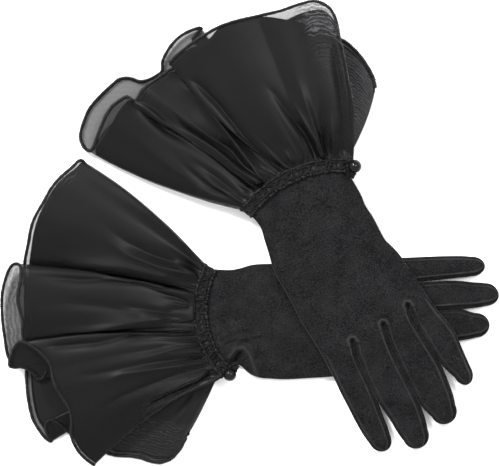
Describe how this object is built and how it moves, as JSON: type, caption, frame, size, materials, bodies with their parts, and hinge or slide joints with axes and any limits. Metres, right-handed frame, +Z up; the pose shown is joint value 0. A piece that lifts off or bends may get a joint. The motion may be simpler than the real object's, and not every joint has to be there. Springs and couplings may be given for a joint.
{
  "type": "opera gloves",
  "caption": "Pair of black stretch-knit gloves lying crossed, each with a gathered wristband, a bead and loop closure and a flared two-layer ruffle cuff.",
  "frame": {"origin": "middle of the base of the pair as it lies on a table", "axes": "+Z up from the table, +X along the lower (right) glove towards its fingertips, the longest side of the pair"},
  "size_m": [0.3362, 0.3102, 0.0297],
  "materials": {
    "stretch_knit": "matte fine-gauge stretch velour knit",
    "sheer_organza": "sheer woven organza with a soft sheen",
    "satin_lining": "soft satin-backed chiffon",
    "thread": "twisted polyester thread",
    "elastic": "covered woven elastic",
    "bead": "polished black glass-like bead"
  },
  "bodies": {
    "right_glove": {"right_palm_panel": "stretch_knit", "right_back_panel": "stretch_knit", "right_wrist_band": "stretch_knit", "right_wrist_elastic": "elastic", "right_gathering_cord_cuff": "thread", "right_gathering_cord_hand": "thread", "right_ruffle_sheer": "sheer_organza", "right_ruffle_lining": "satin_lining", "right_sheer_hem": "thread", "right_lining_hem": "thread", "right_placket_facing": "stretch_knit", "right_bead_shank": "thread"},
    "right_index_finger": {"right_index_palm": "stretch_knit", "right_index_back": "stretch_knit", "right_index_forchette_little_side": "stretch_knit"},
    "right_middle_finger": {"right_middle_palm": "stretch_knit", "right_middle_back": "stretch_knit", "right_middle_forchette_thumb_side": "stretch_knit", "right_middle_forchette_little_side": "stretch_knit"},
    "right_ring_finger": {"right_ring_palm": "stretch_knit", "right_ring_back": "stretch_knit", "right_ring_forchette_thumb_side": "stretch_knit", "right_ring_forchette_little_side": "stretch_knit"},
    "right_little_finger": {"right_little_palm": "stretch_knit", "right_little_back": "stretch_knit", "right_little_forchette_thumb_side": "stretch_knit"},
    "right_thumb": {"right_thumb_palm": "stretch_knit", "right_thumb_back": "stretch_knit"},
    "right_bead": {"right_bead_button": "bead"},
    "right_loop": {"right_button_loop": "thread"},
    "left_glove": {"left_palm_panel": "stretch_knit", "left_back_panel": "stretch_knit", "left_wrist_band": "stretch_knit", "left_wrist_elastic": "elastic", "left_gathering_cord_cuff": "thread", "left_gathering_cord_hand": "thread", "left_ruffle_sheer": "sheer_organza", "left_ruffle_lining": "satin_lining", "left_sheer_hem": "thread", "left_lining_hem": "thread", "left_placket_facing": "stretch_knit", "left_bead_shank": "thread"},
    "left_index_finger": {"left_index_palm": "stretch_knit", "left_index_back": "stretch_knit", "left_index_forchette_little_side": "stretch_knit"},
    "left_middle_finger": {"left_middle_palm": "stretch_knit", "left_middle_back": "stretch_knit", "left_middle_forchette_thumb_side": "stretch_knit", "left_middle_forchette_little_side": "stretch_knit"},
    "left_ring_finger": {"left_ring_palm": "stretch_knit", "left_ring_back": "stretch_knit", "left_ring_forchette_thumb_side": "stretch_knit", "left_ring_forchette_little_side": "stretch_knit"},
    "left_little_finger": {"left_little_palm": "stretch_knit", "left_little_back": "stretch_knit", "left_little_forchette_thumb_side": "stretch_knit"},
    "left_thumb": {"left_thumb_palm": "stretch_knit", "left_thumb_back": "stretch_knit"},
    "left_bead": {"left_bead_button": "bead"},
    "left_loop": {"left_button_loop": "thread"}
  },
  "joints": [
    {"name": "left_glove_lift", "type": "slide", "parent": "right_glove", "child": "left_glove", "axis": [0, 0, 1], "range_m": [0, 0.1]},
    {"name": "right_index_spread", "type": "hinge", "parent": "right_glove", "child": "right_index_finger", "pos_m": [0.08173, -0.02601, 0], "axis": [0, 0, 1], "range_deg": [0, 18]},
    {"name": "right_middle_spread", "type": "hinge", "parent": "right_glove", "child": "right_middle_finger", "pos_m": [0.08273, -0.04499, 0], "axis": [0, 0, 1], "range_deg": [0, 8]},
    {"name": "right_little_spread", "type": "hinge", "parent": "right_glove", "child": "right_little_finger", "pos_m": [0.0848, -0.08453, 0], "axis": [0, 0, -1], "range_deg": [0, 18]},
    {"name": "right_ring_spread", "type": "hinge", "parent": "right_glove", "child": "right_ring_finger", "pos_m": [0.08381, -0.06556, 0], "axis": [0, 0, -1], "range_deg": [0, 8]},
    {"name": "right_thumb_swing", "type": "hinge", "parent": "right_glove", "child": "right_thumb", "pos_m": [0.02045, -0.02221, 0], "axis": [0, 0, 1], "range_deg": [0, 30]},
    {"name": "right_bead_turn", "type": "hinge", "parent": "right_glove", "child": "right_bead", "pos_m": [-0.01495, -0.09567, 0.015], "axis": [0, 0, 1], "range_deg": [-90, 90]},
    {"name": "right_loop_open", "type": "hinge", "parent": "right_glove", "child": "right_loop", "pos_m": [-0.00992, -0.08761, 0.01015], "axis": [-0.848, 0.5299, 0], "range_deg": [0, 75]},
    {"name": "left_index_spread", "type": "hinge", "parent": "left_glove", "child": "left_index_finger", "pos_m": [0.05816, -0.07878, 0.0098], "axis": [0, 0, -1], "range_deg": [0, 18]},
    {"name": "left_middle_spread", "type": "hinge", "parent": "left_glove", "child": "left_middle_finger", "pos_m": [0.07868, -0.06693, 0.0098], "axis": [0, 0, -1], "range_deg": [0, 8]},
    {"name": "left_little_spread", "type": "hinge", "parent": "left_glove", "child": "left_little_finger", "pos_m": [0.11488, -0.04603, 0.0098], "axis": [0, 0, 1], "range_deg": [0, 18]},
    {"name": "left_ring_spread", "type": "hinge", "parent": "left_glove", "child": "left_ring_finger", "pos_m": [0.09878, -0.05533, 0.0098], "axis": [0, 0, 1], "range_deg": [0, 8]},
    {"name": "left_thumb_swing", "type": "hinge", "parent": "left_glove", "child": "left_thumb", "pos_m": [0.02926, -0.02272, 0.0098], "axis": [0, 0, -1], "range_deg": [0, 60]},
    {"name": "left_bead_turn", "type": "hinge", "parent": "left_glove", "child": "left_bead", "pos_m": [0.0694, 0.04515, 0.025], "axis": [0, 0, 1], "range_deg": [-90, 90]},
    {"name": "left_loop_open", "type": "hinge", "parent": "left_glove", "child": "left_loop", "pos_m": [0.06539, 0.03654, 0.01995], "axis": [0.9063, -0.4226, 0], "range_deg": [0, 75]}
  ],
  "couplings": [
    {"joint": "right_middle_spread", "follows": "right_index_spread", "ratio": 0.4},
    {"joint": "right_ring_spread", "follows": "right_little_spread", "ratio": 0.4},
    {"joint": "left_middle_spread", "follows": "left_index_spread", "ratio": 0.4},
    {"joint": "left_ring_spread", "follows": "left_little_spread", "ratio": 0.4}
  ]
}
